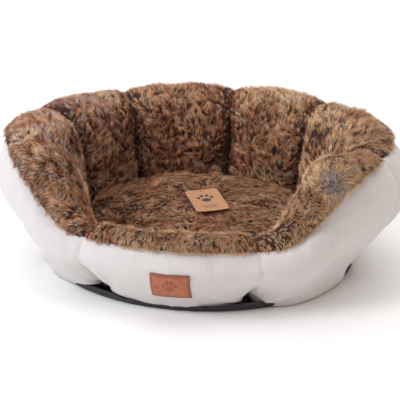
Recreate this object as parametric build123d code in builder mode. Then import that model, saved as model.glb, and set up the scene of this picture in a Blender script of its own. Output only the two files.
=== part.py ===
from build123d import *
import os
from math import atan2, cos, degrees, hypot, radians, sin

os.makedirs("parts", exist_ok=True)

# Oval bolster bed for a pet. Millimetres, +Z up, the low entrance side faces -Y.
# Plan ovals have one half width (along X) and two half depths: behind and in front of the middle.

# --- overall size -----------------------------------------------------------------------------
wall_half_width = 302.0      # widest point of the wall, at the sides
wall_half_depth_back = 250.0
wall_half_depth_front = 224.0
foot_half_width = 220.0      # bottom seam, where the wall meets the base panel
foot_half_depth = 186.0
nest_half_width = 190.0      # inner face of the wall filling
nest_half_depth = 169.0
wall_height = 192.0          # top of the filling at the back and the sides
entrance_height = 108.0      # top of the filling at the front

# --- wall chambers ----------------------------------------------------------------------------
# Oval angles of the seams between the chambers, from the front towards +X and round.
seam_angles = [-28.0, 25.0, 76.0, 142.0, 176.0, 216.0, 253.0, 290.0]
low_rim_end = 30.0           # oval angle from the front where the rim starts to rise
high_rim_start = 60.0        # oval angle from the front where the rim has its full height
seam_pinch = 0.50            # share of the wall thickness that is left at a chamber seam
seam_dip = 9.0               # how far the rim drops at a chamber seam
baffle_thickness = 0.8
baffle_share = 0.85          # the baffle's size next to the seam section that it divides

# --- cloth and fur ----------------------------------------------------------------------------
linen_thickness = 1.2
fur_thickness = 9.2          # backing and pile, pressed by hand
layer_gap = 4.0              # room between a filling and its covers
cover_seam_gap = 1.5         # between the fur edge and the linen edge at the rim seam
fur_foot_lift = 2.0          # the fur lining ends this far above the wall's foot
linen_foot_lift = 6.0        # and the linen this far, measured along the slope

# --- base and floor ---------------------------------------------------------------------------
base_thickness = 2.0
base_lip_height = 6.0        # the base cloth turns up this far around the wall
base_lip_clearance = 5.0     # room for the leaning linen inside the turned-up lip
base_lip_radius = 4.0
floor_pad_thickness = 15.0
floor_lining_thickness = 1.0
floor_gap = 0.8
floor_clearance = 3.0        # between the floor pad and the fur lining

# --- loose cushion ----------------------------------------------------------------------------
cushion_clearance = 4.0      # between the cushion and the fur lining, all around
cushion_top = 90.0           # height of the cushion's top above the ground
cushion_edge_height = 54.0   # height of the cushion's edge seam above the ground
cushion_fur_thickness = 9.0
cushion_cloth_thickness = 1.2
cushion_top_radius = 24.0    # of the filling's upper edge
cushion_foot_radius = 8.0    # of the filling's lower edge
piping_radius = 2.5

# --- patch and tag ----------------------------------------------------------------------------
patch_width = 54.0
patch_height = 41.0
patch_thickness = 1.6
patch_middle_height = 51.0
tag_width = 50.0
tag_length = 72.0
tag_thickness = 0.8
tag_corner = 5.0
tag_hole_radius = 1.6
tag_hole_inset = 5.0
tag_middle = (12.0, -16.0)   # on the cushion, from the middle of the nest
tag_turn = 26.0
tag_tilt = 4.0
tag_clearance = 0.6

# --- worked out -------------------------------------------------------------------------------
floor_z = base_thickness + floor_gap
fur_face = layer_gap + fur_thickness
pad_half_width = nest_half_width - fur_face - floor_clearance
pad_half_depth = nest_half_depth - fur_face - floor_clearance
pad_top = floor_z + floor_pad_thickness
lining_top = pad_top + floor_gap + floor_lining_thickness
cushion_bottom = lining_top + floor_gap
cushion_half_width = nest_half_width - fur_face - cushion_clearance
cushion_half_depth = nest_half_depth - fur_face - cushion_clearance
chamber_ends = seam_angles[1:] + [seam_angles[0] + 360]
plan_aspect = wall_half_width / ((wall_half_depth_back + wall_half_depth_front) / 2)
end_margin = degrees((baffle_thickness / 2 + layer_gap) / nest_half_depth)
stations = [-1.0, -0.6, 0.0, 0.6, 1.0]   # places along a chamber, from seam to seam

finished = []


def keep(name, piece):
    piece.label = name
    finished.append(piece)


def smooth(share):
    share = min(max(share, 0.0), 1.0)
    return share * share * (3 - 2 * share)


def mix(low, high, share):
    return low + (high - low) * share


# Polar angle from the front, for an angle given on the oval.
def polar(oval_angle):
    return atan2(plan_aspect * sin(radians(oval_angle)), cos(radians(oval_angle)))


# Plan radius of an oval at a polar angle.
def reach(angle, half_width, back, front):
    depth = front if cos(angle) > 0 else back
    return half_width * depth / hypot(depth * sin(angle), half_width * cos(angle))


# Upright plane through the middle of the nest: its x points outward, its y points up.
def wall_plane(angle):
    return Plane((0, 0, 0), x_dir=(sin(angle), -cos(angle), 0), z_dir=(-cos(angle), -sin(angle), 0))


# Corner points of the filling's section, from the inner foot over the rim to the outer foot.
def wall_outline(oval_angle, fullness):
    angle = polar(oval_angle)
    inner = reach(angle, nest_half_width, nest_half_depth, nest_half_depth)
    outer = reach(angle, wall_half_width, wall_half_depth_back, wall_half_depth_front)
    foot = reach(angle, foot_half_width, foot_half_depth, foot_half_depth)
    rise = smooth((abs(oval_angle) - low_rim_end) / (high_rim_start - low_rim_end))
    height = mix(entrance_height, wall_height, rise) - seam_dip * (1 - fullness)
    levels = [                                   # height, inner radius, outer radius
        (floor_z + 0.5, inner, foot),
        (0.36 * height, inner - 1, mix(foot, outer, 0.66)),
        (0.64 * height, inner + 5, outer),
        (0.90 * height, inner + 22, outer - 13),
    ]
    width_left = mix(seam_pinch, 1.0, fullness)
    inside, outside = [], []
    for z, near, far in levels:
        middle = (near + far) / 2
        half = (far - near) / 2 * width_left
        inside.append((middle - half, z))
        outside.append((middle + half, z))
    top = ((inside[-1][0] + outside[-1][0]) / 2, height)
    return inside + [top] + outside[::-1]


def fullness_at(station):
    return (1 - abs(station) ** 2) ** 0.5


def station_angle(chamber, station):
    start = seam_angles[chamber] + end_margin
    end = chamber_ends[chamber] - end_margin
    return mix(start, end, (station + 1) / 2)


# Points at a set distance outside the section's outline, between two of its corner points.
def layer_points(outline, first, last, distance, count):
    curve = Spline(*outline, mode=Mode.PRIVATE)
    start = curve.param_at_point(outline[first])
    end = curve.param_at_point(outline[last])
    points = []
    for step in range(count):
        place = mix(start, end, step / (count - 1))
        along = curve.tangent_at(place)
        at = curve.position_at(place)
        points.append((at.X - along.Y * distance, at.Y + along.X * distance))
    return points


# One layer of a chamber's cover, lofted through the chamber's stations.
def cover_layer(chamber, first, last, near, far, count, trim_start=0.0, trim_end=0.0):
    with BuildPart() as layer:
        for station in stations:
            oval_angle = signed(station_angle(chamber, station))
            outline = wall_outline(oval_angle, fullness_at(station))
            near_points = layer_points(outline, first, last, near, count)
            far_points = layer_points(outline, first, last, far, count)
            near_points = trimmed(near_points, trim_start, trim_end)
            far_points = trimmed(far_points, trim_start, trim_end)
            with BuildSketch(wall_plane(polar(oval_angle))):
                with BuildLine():
                    Spline(*near_points)
                    Line(near_points[-1], far_points[-1])
                    Spline(*far_points)
                    Line(far_points[0], near_points[0])
                make_face()
        loft()
    return layer.part


# Pulls the first and last point of a run of points back along it.
def trimmed(points, trim_start, trim_end):
    points = list(points)
    for index, beside, trim in ((0, 1, trim_start), (-1, -2, trim_end)):
        dx = points[beside][0] - points[index][0]
        dz = points[beside][1] - points[index][1]
        share = trim / hypot(dx, dz)
        points[index] = (points[index][0] + dx * share, points[index][1] + dz * share)
    return points


# Points drawn towards their middle.
def shrunk(points, share):
    middle_x = sum(x for x, y in points) / len(points)
    middle_y = sum(y for x, y in points) / len(points)
    return [(mix(middle_x, x, share), mix(middle_y, y, share)) for x, y in points]


def signed(angle):
    return (angle + 180) % 360 - 180


inner_foot, rim_seam, outer_foot = 0, 5, 8    # corner points of the outline that the covers use
linen_face = layer_gap + linen_thickness

# --- wall: fillings, fur lining, linen cover and the baffles between the chambers ---------------
for chamber in range(len(seam_angles)):
    with BuildPart() as filling:
        for station in stations:
            oval_angle = signed(station_angle(chamber, station))
            outline = wall_outline(oval_angle, fullness_at(station))
            with BuildSketch(wall_plane(polar(oval_angle))):
                with BuildLine():
                    Spline(*outline)
                    Line(outline[-1], outline[0])
                make_face()
        loft()
    keep(f"wall_filling_{chamber + 1}", filling.part)
    fur = cover_layer(
        chamber, inner_foot, rim_seam, layer_gap, fur_face, 14, fur_foot_lift, cover_seam_gap)
    keep(f"fur_lining_{chamber + 1}", fur)
    linen = cover_layer(chamber, rim_seam, outer_foot, layer_gap, linen_face, 8, 0, linen_foot_lift)
    keep(f"linen_cover_{chamber + 1}", linen)

    seam_angle = signed(chamber_ends[chamber])
    seam_plane = wall_plane(polar(seam_angle))
    with BuildPart() as baffle:
        with BuildSketch(seam_plane):
            with BuildLine():
                Polyline(*shrunk(wall_outline(seam_angle, 0.0), baffle_share), close=True)
            make_face()
        extrude(amount=baffle_thickness / 2, both=True)
    keep(f"chamber_baffle_{chamber + 1}", baffle.part)

# --- base panel: a shallow oval tray of coated cloth -------------------------------------------
lip_face = linen_face + base_lip_clearance
with BuildPart() as base_panel:
    with BuildSketch():
        Ellipse(foot_half_width + lip_face + base_thickness, foot_half_depth + lip_face + base_thickness)
    extrude(amount=base_lip_height)
    fillet(base_panel.edges().group_by(Axis.Z)[0], base_lip_radius)
    with BuildSketch(Plane.XY.offset(base_thickness)):
        Ellipse(foot_half_width + lip_face, foot_half_depth + lip_face)
    extrude(amount=base_lip_height, mode=Mode.SUBTRACT)
keep("base_panel", base_panel.part)

# --- floor of the nest --------------------------------------------------------------------------
with BuildPart() as floor_pad:
    with BuildSketch(Plane.XY.offset(floor_z)):
        Ellipse(pad_half_width, pad_half_depth)
    extrude(amount=floor_pad_thickness)
    fillet(floor_pad.edges(), floor_pad_thickness / 4)
keep("floor_pad", floor_pad.part)

with BuildPart() as floor_lining:
    with BuildSketch(Plane.XY.offset(pad_top + floor_gap)):
        Ellipse(pad_half_width, pad_half_depth)
    extrude(amount=floor_lining_thickness)
keep("floor_lining", floor_lining.part)


# --- loose cushion: filling, base cloth, piping along the edge seam, fur top ---------------------
seam_low = cushion_edge_height - piping_radius - floor_gap
seam_high = cushion_edge_height + piping_radius + floor_gap
core_inset = cushion_fur_thickness + layer_gap
core_top = cushion_top - core_inset
core_bottom = cushion_bottom + cushion_cloth_thickness + floor_gap
cloth_inset = core_inset - layer_gap - cushion_cloth_thickness   # of the base cloth's outer face


# An upright oval block with rounded upper and lower edges.
def oval_block(inset, bottom, top, upper_radius, lower_radius):
    with BuildPart() as block:
        with BuildSketch(Plane.XY.offset(bottom)):
            Ellipse(cushion_half_width - inset, cushion_half_depth - inset)
        extrude(amount=top - bottom)
        if upper_radius:
            fillet(block.edges().group_by(Axis.Z)[-1], upper_radius)
        if lower_radius:
            fillet(block.edges().group_by(Axis.Z)[0], lower_radius)
    return block.part


core = oval_block(core_inset, core_bottom, core_top, cushion_top_radius, cushion_foot_radius)
keep("cushion_filling", core)

fur_radius = cushion_top_radius + cushion_fur_thickness - 3
fur_block = oval_block(0, seam_high, cushion_top, fur_radius, 0)
fur_hollow = oval_block(
    cushion_fur_thickness, seam_high - 1, cushion_top - cushion_fur_thickness, cushion_top_radius, 0)
with BuildPart() as cushion_fur:
    add(fur_block)
    add(fur_hollow, mode=Mode.SUBTRACT)
keep("cushion_fur", cushion_fur.part)

cloth_block = oval_block(cloth_inset, cushion_bottom, seam_low, 0, cushion_foot_radius + 1)
cloth_hollow = oval_block(
    cloth_inset + cushion_cloth_thickness, cushion_bottom + cushion_cloth_thickness,
    seam_low + 1, 0, cushion_foot_radius)
with BuildPart() as cushion_base:
    add(cloth_block)
    add(cloth_hollow, mode=Mode.SUBTRACT)
keep("cushion_base_cloth", cushion_base.part)

with BuildPart() as cushion_piping:
    with BuildSketch(Plane.XY.offset(cushion_edge_height - piping_radius)):
        Ellipse(cushion_half_width - 1, cushion_half_depth - 1)
        Ellipse(
            cushion_half_width - 1 - 2 * piping_radius, cushion_half_depth - 1 - 2 * piping_radius,
            mode=Mode.SUBTRACT)
    extrude(amount=2 * piping_radius)
keep("cushion_piping", cushion_piping.part)

# --- leather patch: follows the bulge of the front chamber ---------------------------------------
patch_face = linen_face + 0.2
with BuildPart() as patch_block:
    with BuildSketch(Plane.XZ):
        with Locations((0, patch_middle_height)):
            RectangleRounded(patch_width, patch_height, 1.5)
    extrude(amount=wall_half_depth_front * 2)
leather_sheet = cover_layer(0, rim_seam, outer_foot, patch_face, patch_face + patch_thickness, 8)
leather_patch = leather_sheet & patch_block.part
keep("leather_patch", leather_patch)

# --- swing tag: a card with clipped top corners, lying on the cushion -----------------------------
tag_z = cushion_top + tag_clearance + tag_length / 2 * sin(radians(tag_tilt))
tag_plane = Plane((*tag_middle, tag_z)).rotated((tag_tilt, 0, tag_turn))
with BuildPart() as swing_tag:
    with BuildSketch(tag_plane) as card:
        Rectangle(tag_width, tag_length)
        chamfer(card.vertices().group_by(Axis.Y)[-1], tag_corner)
        with Locations((0, tag_length / 2 - tag_hole_inset)):
            Circle(tag_hole_radius, mode=Mode.SUBTRACT)
    extrude(amount=tag_thickness)
keep("swing_tag", swing_tag.part)

# --- the origin: on the ground, the nest's middle across, the middle of the whole bed along Y ------
front_edge = min(piece.bounding_box().min.Y for piece in finished)
back_edge = max(piece.bounding_box().max.Y for piece in finished)
to_middle = Location((0, -(front_edge + back_edge) / 2, 0))
for piece in finished:
    placed = piece.moved(to_middle)
    placed.label = piece.label
    export_step(placed, f"parts/{placed.label}.step")
print("nest middle is at y =", round(-(front_edge + back_edge) / 2, 2))
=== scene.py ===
import math

import bpy
import numpy as np
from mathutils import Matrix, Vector


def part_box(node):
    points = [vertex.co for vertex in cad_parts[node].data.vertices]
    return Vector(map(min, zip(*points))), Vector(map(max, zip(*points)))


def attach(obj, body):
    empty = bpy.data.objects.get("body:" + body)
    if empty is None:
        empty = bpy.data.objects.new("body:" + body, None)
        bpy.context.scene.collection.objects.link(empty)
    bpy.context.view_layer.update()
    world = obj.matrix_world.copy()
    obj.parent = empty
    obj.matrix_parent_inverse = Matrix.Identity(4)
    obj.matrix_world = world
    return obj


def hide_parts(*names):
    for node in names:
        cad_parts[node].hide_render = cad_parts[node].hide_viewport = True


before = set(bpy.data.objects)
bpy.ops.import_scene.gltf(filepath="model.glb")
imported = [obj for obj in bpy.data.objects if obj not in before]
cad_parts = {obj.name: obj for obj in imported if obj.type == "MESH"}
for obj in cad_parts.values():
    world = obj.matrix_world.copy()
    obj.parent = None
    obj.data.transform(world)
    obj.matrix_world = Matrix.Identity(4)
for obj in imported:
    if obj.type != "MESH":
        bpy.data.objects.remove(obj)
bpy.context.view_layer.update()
mm = 0.001
nestLow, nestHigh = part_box("cushion_filling")
nestMiddle = (nestLow + nestHigh) / 2        # every oval of the bed is centred here in plan
print("frame loaded")

# Small helpers.
rng = np.random.default_rng(41)


def mix(low, high, share):
    return low + (high - low) * share


def smooth(share):
    share = np.clip(share, 0, 1)
    return share * share * (3 - 2 * share)


def unit(vectors):
    return vectors / np.maximum(np.linalg.norm(vectors, axis=-1, keepdims=True), 1e-12)


def softNoise(points, size, seed, waves=10):
    dice = np.random.default_rng(seed)           # a sum of slanted waves, about -1 to 1
    total = np.zeros(points.shape[:-1])
    for _ in range(waves):
        direction = unit(dice.normal(size=3)) * (2 * math.pi / size) * dice.uniform(0.6, 1.4)
        total += np.sin(points @ direction + dice.uniform(0, 2 * math.pi))
    return total / math.sqrt(waves)


def linear(hexColour):
    values = [int(hexColour[i:i + 2], 16) / 255 for i in (1, 3, 5)]
    return [v / 12.92 if v <= 0.04045 else ((v + 0.055) / 1.055) ** 2.4 for v in values] + [1.0]


def newMaterial(name):
    material = bpy.data.materials.new(name)
    material.use_nodes = True
    tree = material.node_tree
    return material, tree, tree.nodes["Principled BSDF"]


# Settings are attributes, values and links are sockets, and stops are a colour ramp's places and colours.
def addNode(tree, kind, settings=None, values=None, links=None, stops=None, between="LINEAR"):
    node = tree.nodes.new("ShaderNode" + kind)
    for key, value in (settings or {}).items():
        setattr(node, key, value)
    for key, value in (values or {}).items():
        node.inputs[key].default_value = value
    for key, source in (links or {}).items():
        tree.links.new(source, node.inputs[key])
    if stops:
        node.color_ramp.interpolation = between
        while len(node.color_ramp.elements) < len(stops):
            node.color_ramp.elements.new(0.5)
        for element, (place, colour) in zip(node.color_ramp.elements, stops):
            element.position = place
            element.color = linear(colour)
    return node


# A finish on the shader: colour, roughness and other sockets, and fine relief where a height is given.
def setFinish(tree, shader, colour, roughness, height=None, strength=0.4, distance=0.4 * mm, more=None):
    tree.links.new(colour, shader.inputs["Base Color"])
    if height is not None:
        relief = addNode(tree, "Bump", values={"Strength": strength, "Distance": distance},
                         links={"Height": height})
        tree.links.new(relief.outputs["Normal"], shader.inputs["Normal"])
    for socket, value in {"Roughness": roughness, **(more or {})}.items():
        shader.inputs[socket].default_value = value


def addMesh(name, points, faces, material, uv=None, uvName="OFBake"):
    mesh = bpy.data.meshes.new(name)
    mesh.from_pydata([tuple(p) for p in points], [], [tuple(f) for f in faces])
    if uv is not None:
        loops = np.zeros(len(mesh.loops), np.int32)
        mesh.loops.foreach_get("vertex_index", loops)
        mesh.uv_layers.new(name=uvName).data.foreach_set("uv", np.asarray(uv, np.float32)[loops].ravel())
    mesh.polygons.foreach_set("use_smooth", np.ones(len(mesh.polygons), bool))
    mesh.materials.append(material)
    mesh.update()
    piece = bpy.data.objects.new(name, mesh)
    bpy.context.scene.collection.objects.link(piece)
    return piece


# Faces of a grid of rows and columns, numbered row by row.
def gridFaces(rows, columns, first=0, flip=False, closed=False):
    faces = []
    for i in range(rows if closed else rows - 1):
        for j in range(columns - 1):
            a = first + i * columns + j
            b = first + ((i + 1) % rows) * columns + j
            faces.append((a, b, b + 1, a + 1) if not flip else (a, a + 1, b + 1, b))
    return faces


# A closed sheet from an outer and an inner grid of points.
def sheetBetween(outer, inner, closed=False):
    rows, columns = outer.shape[:2]
    count = rows * columns
    faces = gridFaces(rows, columns, 0, False, closed) + gridFaces(rows, columns, count, True, closed)
    for i in range(rows if closed else rows - 1):
        a, b = i * columns, ((i + 1) % rows) * columns
        faces.append((a, a + count, b + count, b))
        faces.append((a + columns - 1, b + columns - 1, b + count + columns - 1, a + count + columns - 1))
    if not closed:
        last = (rows - 1) * columns
        for j in range(columns - 1):
            faces.append((j, j + 1, j + 1 + count, j + count))
            faces.append((last + j, last + j + count, last + j + 1 + count, last + j + 1))
    return np.concatenate([outer.reshape(-1, 3), inner.reshape(-1, 3)]), faces


def normalsOf(grid, closed=False):
    if closed:
        alongRows = np.roll(grid, -1, axis=0) - np.roll(grid, 1, axis=0)
    else:
        alongRows = np.gradient(grid, axis=0)
    return unit(np.cross(np.gradient(grid, axis=1), alongRows))


# Wall shape.
wallPlan = {
    "side": 302 * mm, "back": 250 * mm, "front": 224 * mm,      # widest reach of the filling
    "footSide": 220 * mm, "footDepth": 186 * mm,
    "nestSide": 190 * mm, "nestDepth": 169 * mm,
    "height": 192 * mm, "entranceHeight": 108 * mm,
    "lowRimEnd": 30, "highRimStart": 60,
    "seams": [-28, 25, 76, 142, 176, 216, 253, 290],            # oval angles, from the front towards +X
    "innerPinch": 0.5, "seamDip": 2 * mm,                       # of the thickness, and of the rim
    "tuckDepths": [44, 32, 26, 14, 14, 14, 14, 10],              # mm, outer tuck at each seam
    "tuckHeights": [0.62, 0.5, 1.15, 0.8, 0.8, 0.8, 0.8, 0.9],  # share of the height that the tuck runs up
    "seamCuts": [15, 12, 10, 5, 5, 5, 5, 4],                    # mm, narrow cut at the foot of each seam
    "footRises": [15, 7, 8, 3, 3, 3, 3, 2],                     # mm, the cloth's foot rises off the base
    "footRiseSpans": [9, 5, 6, 5, 5, 5, 5, 5],                  # degrees
    "footPuffs": [1, 13, 12, 8, 8, 8, 8, 10],                   # mm, how far each chamber sags over the base
    "floor": 3.3 * mm, "furStopLow": -1 * mm, "furStopHigh": 9 * mm, "furStopRight": 9 * mm,
}
seams = np.array(wallPlan["seams"], float)
spans = np.diff(np.append(seams, seams[0] + 360))
planAspect = wallPlan["side"] / ((wallPlan["back"] + wallPlan["front"]) / 2)


def signedAngle(angle):
    return (angle + 180) % 360 - 180


def polar(ovalAngle):
    a = np.radians(ovalAngle)
    return np.arctan2(planAspect * np.sin(a), np.cos(a))


def reach(angle, side, back, front):
    depth = np.where(np.cos(angle) > 0, front, back)
    return side * depth / np.hypot(depth * np.sin(angle), side * np.cos(angle))


def chamberAt(ovalAngle):
    turned = (np.asarray(ovalAngle, float) - seams[0]) % 360
    return np.clip(np.searchsorted(seams - seams[0], turned, side="right") - 1, 0, len(seams) - 1)


def alongChamber(ovalAngle):
    chamber = chamberAt(ovalAngle)
    turned = (np.asarray(ovalAngle, float) - seams[0]) % 360
    return (turned - (seams[chamber] - seams[0])) / spans[chamber] * 2 - 1       # -1 and 1 are the seams


# Degrees from the nearest seam, and that seam's number.
def seamDistance(ovalAngle):
    offset = np.abs(signedAngle(np.asarray(ovalAngle, float)[..., None] - seams))
    return offset.min(-1), offset.argmin(-1)


# Corner points of the wall's section at each oval angle: inner foot, over the rim, outer foot.
def sectionCorners(ovalAngle):
    w = wallPlan
    t = signedAngle(ovalAngle)
    a = polar(t)
    inner = reach(a, w["nestSide"], w["nestDepth"], w["nestDepth"])
    outer = reach(a, w["side"], w["back"], w["front"])
    foot = reach(a, w["footSide"], w["footDepth"], w["footDepth"])
    rise = smooth((np.abs(t) - w["lowRimEnd"]) / (w["highRimStart"] - w["lowRimEnd"]))
    place = np.abs(alongChamber(t))
    full = np.sqrt(np.maximum(1 - place ** 2, 0))
    height = mix(w["entranceHeight"], w["height"], rise) - w["seamDip"] * (1 - full)
    distance, seam = seamDistance(t)
    tuck = 0.75 * np.exp(-distance / 3.2) + 0.25 * np.exp(-distance / 10)
    depth = np.array(w["tuckDepths"])[seam] * mm
    tuckHeight = np.array(w["tuckHeights"])[seam]
    levels = [
        (np.full_like(height, w["floor"] + 0.5 * mm), inner, foot),
        (0.36 * height, inner - 1 * mm, mix(foot, outer, 0.66)),
        (0.64 * height, inner + 5 * mm, outer),
        (0.90 * height, inner + 22 * mm, outer - 13 * mm),
    ]
    inside, outside = [], []
    for z, near, far in levels:
        half = (far - near) / 2
        share = (z - w["floor"]) / height
        pinch = half * (1 - w["innerPinch"]) * (1 - full)
        pull = depth * tuck * (1 - smooth(share / tuckHeight) * 0.85) * mix(0.55, 1.0, smooth(share / 0.2))
        pull = np.minimum(pull, 0.45 * (far - near))
        inside.append(np.stack([near + pinch, z], -1))
        outside.append(np.stack([far - pull, z], -1))
    top = np.stack([(inside[-1][:, 0] + outside[-1][:, 0]) / 2, height], -1)
    return np.stack(inside + [top] + outside[::-1], 1)


# A smooth line through each section's corners, cut into even steps between two corners.
# Its start and end can be shifted along the line, in metres.
def sectionLines(corners, first, last, count, startShift=0.0, endShift=0.0):
    fine, lines = 24, []
    steps = corners.shape[1]
    shifts = np.broadcast_to(np.stack(np.broadcast_arrays(startShift, endShift), -1), (len(corners), 2))
    for section, (startMove, endMove) in zip(corners, shifts):
        gap = np.maximum(np.linalg.norm(np.diff(section, axis=0), axis=1), 1e-6)
        system, right = np.eye(steps), np.zeros((steps, 2))
        for k in range(1, steps - 1):
            system[k, k - 1:k + 2] = gap[k - 1], 2 * (gap[k - 1] + gap[k]), gap[k]
            slope = (section[k + 1] - section[k]) / gap[k] - (section[k] - section[k - 1]) / gap[k - 1]
            right[k] = 6 * slope
        bend = np.linalg.solve(system, right)
        points = [section[:1]]
        for k in range(steps - 1):
            s = np.linspace(0, gap[k], fine + 1)[1:, None]
            rest = gap[k] - s
            points.append(
                bend[k] * rest ** 3 / (6 * gap[k]) + bend[k + 1] * s ** 3 / (6 * gap[k])
                + (section[k] / gap[k] - bend[k] * gap[k] / 6) * rest
                + (section[k + 1] / gap[k] - bend[k + 1] * gap[k] / 6) * s)
        points = np.concatenate(points)
        run = np.concatenate([[0], np.cumsum(np.linalg.norm(np.diff(points, axis=0), axis=1))])
        even = np.linspace(run[first * fine] + startMove, run[last * fine] + endMove, count)
        lines.append(np.stack([np.interp(even, run, points[:, 0]), np.interp(even, run, points[:, 1])], -1))
    return np.array(lines)


# Rows go round the bed, columns along the section.
def wallGrid(ovalAngles, first, last, count, startShift=0.0, endShift=0.0):
    lines = sectionLines(sectionCorners(ovalAngles), first, last, count, startShift, endShift)
    a = polar(signedAngle(ovalAngles))[:, None]
    r, z = lines[..., 0], lines[..., 1]
    return np.stack([nestMiddle.x + r * np.sin(a), nestMiddle.y - r * np.cos(a), z], -1)


innerFoot, rimSeam, outerFoot = 0, 5, 8


# How far short of the rim seam the fur stops: nothing at the entrance, more on the high wall.
def furStop(ovalAngle):
    high = smooth((np.abs(signedAngle(ovalAngle)) - 50) / 25)
    side = np.exp(-((signedAngle(ovalAngle) - 88) / 32) ** 2)
    return mix(wallPlan["furStopLow"], wallPlan["furStopHigh"], high) + wallPlan["furStopRight"] * side


# Fur.
furLook = {
    "skinLift": 5 * mm, "skinThickness": 2 * mm, "crease": 7 * mm, "puff": 5 * mm,
    "pile": 11 * mm, "strandWidth": 0.8 * mm, "strandsPerLock": 6, "lockSpread": 1.6 * mm,
    "wallStrands": 18300, "cushionStrands": 18300,
    # dark umber, umber, chestnut, warm brown, ginger, tan, honey, ash grey
    "palette": ["#4b2c1e", "#774731", "#a76849", "#cd8b62", "#e6ac80", "#f2c79b", "#f6d8b2", "#d3c7c0"],
}
paletteSteps = len(furLook["palette"])
ashStep = paletteSteps - 1


# Faux fur: acrylic pile, each strand one dyed colour; painted shade makes it grey-brown and darker towards
# the root, deep in the pile.
# The finish is dull with a soft sheen, because the dyed fibres are matt.
def makeFurMaterial():
    material, tree, shader = newMaterial("acrylicFauxFur")
    plan = addNode(tree, "UVMap", {"uv_map": "OFBake"})
    parts = addNode(tree, "SeparateXYZ", links={"Vector": plan.outputs["UV"]})
    colours = addNode(tree, "ValToRGB", links={"Fac": parts.outputs["X"]}, between="CONSTANT",
                      stops=[(k / paletteSteps, c) for k, c in enumerate(furLook["palette"])])
    # Painted shade: this ramp darkens each strand from tip to root, for the shade inside the pile.
    depth = addNode(tree, "ValToRGB", links={"Fac": parts.outputs["Y"]},
                    stops=[(0, "#6a5a50"), (0.35, "#9c8c80"), (0.7, "#f0e9e0"), (1, "#ffffff")])
    shade = addNode(tree, "Mix", {"data_type": "RGBA", "blend_type": "MULTIPLY"})
    shade.inputs["Factor"].default_value = 1.0
    tree.links.new(colours.outputs["Color"], shade.inputs["A"])
    tree.links.new(depth.outputs["Color"], shade.inputs["B"])
    setFinish(tree, shader, shade.outputs["Result"], 0.62,
              more={"Specular IOR Level": 0.28, "Sheen Weight": 0.15})
    return material


furMaterial = makeFurMaterial()


# Every strand is a closed three-sided spike with one bend, built in one go.
def strandPoints(roots, middles, tips, widths):
    stem = unit(middles - roots)
    helper = np.where(np.abs(stem[:, 2:]) > 0.8, [[1.0, 0, 0]], [[0, 0, 1.0]])
    sideA = unit(np.cross(stem, helper))
    sideB = np.cross(stem, sideA)
    ring = []
    for centre, size in ((roots, 0.5), (middles, 0.42)):
        for k in range(3):
            angle = 2 * math.pi * k / 3
            ring.append(centre + (sideA * math.cos(angle) + sideB * math.sin(angle)) * widths[:, None] * size)
    return np.stack(ring + [tips], 1)


strandFaces = [(0, 1, 4, 3), (1, 2, 5, 4), (2, 0, 3, 5), (3, 4, 6), (4, 5, 6), (5, 3, 6), (2, 1, 0)]


def addFurPiece(name, skinPoints, skinFaces, skinUv, strands, tones):
    count = len(strands)
    base = len(skinPoints)
    points = np.concatenate([skinPoints, strands.reshape(-1, 3)])
    starts = base + 7 * np.arange(count)
    width = 0.028
    across = np.array([-width, 0, width, -width, 0, width, 0])
    # Root to tip along the strand; the fur material paints shade from it, darkest at the root.
    height = np.array([0.02, 0.0, 0.02, 0.5, 0.52, 0.5, 0.98])
    cornerUv = np.stack([tones[:, None] + across, np.broadcast_to(height, (count, 7))], -1)
    loops = np.concatenate([np.asarray(f) for f in strandFaces])
    sizes = np.array([len(f) for f in strandFaces])
    skinSizes = np.array([len(f) for f in skinFaces])
    skinLoops = np.concatenate([np.asarray(f) for f in skinFaces])
    allLoops = np.concatenate([skinLoops, (starts[:, None] + loops).ravel()]).astype(np.int32)
    allSizes = np.concatenate([skinSizes, np.tile(sizes, count)]).astype(np.int32)
    pointUv = np.concatenate([skinUv, cornerUv.reshape(-1, 2)]).astype(np.float32)
    mesh = bpy.data.meshes.new(name)
    mesh.vertices.add(len(points))
    mesh.vertices.foreach_set("co", points.astype(np.float32).ravel())
    mesh.loops.add(len(allLoops))
    mesh.loops.foreach_set("vertex_index", allLoops)
    mesh.polygons.add(len(allSizes))
    mesh.polygons.foreach_set("loop_start", np.concatenate([[0], np.cumsum(allSizes)[:-1]]).astype(np.int32))
    mesh.polygons.foreach_set("loop_total", allSizes)
    mesh.polygons.foreach_set("use_smooth", np.ones(len(allSizes), bool))
    mesh.uv_layers.new(name="OFBake").data.foreach_set("uv", pointUv[allLoops].ravel())
    mesh.materials.append(furMaterial)
    mesh.update(calc_edges=True)
    mesh.validate()
    piece = bpy.data.objects.new(name, mesh)
    bpy.context.scene.collection.objects.link(piece)
    return piece


# Reads a grid at fractional rows and columns.
def readGrid(grid, rowPlace, columnPlace):
    rows, columns = grid.shape[:2]
    r = np.clip(rowPlace, 0, 1) * (rows - 1)
    c = np.clip(columnPlace, 0, 1) * (columns - 1)
    i, j = np.minimum(r.astype(int), rows - 2), np.minimum(c.astype(int), columns - 2)
    fr, fc = (r - i)[:, None], (c - j)[:, None]
    return (grid[i, j] * (1 - fr) * (1 - fc) + grid[i + 1, j] * fr * (1 - fc)
            + grid[i, j + 1] * (1 - fr) * fc + grid[i + 1, j + 1] * fr * fc)


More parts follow.
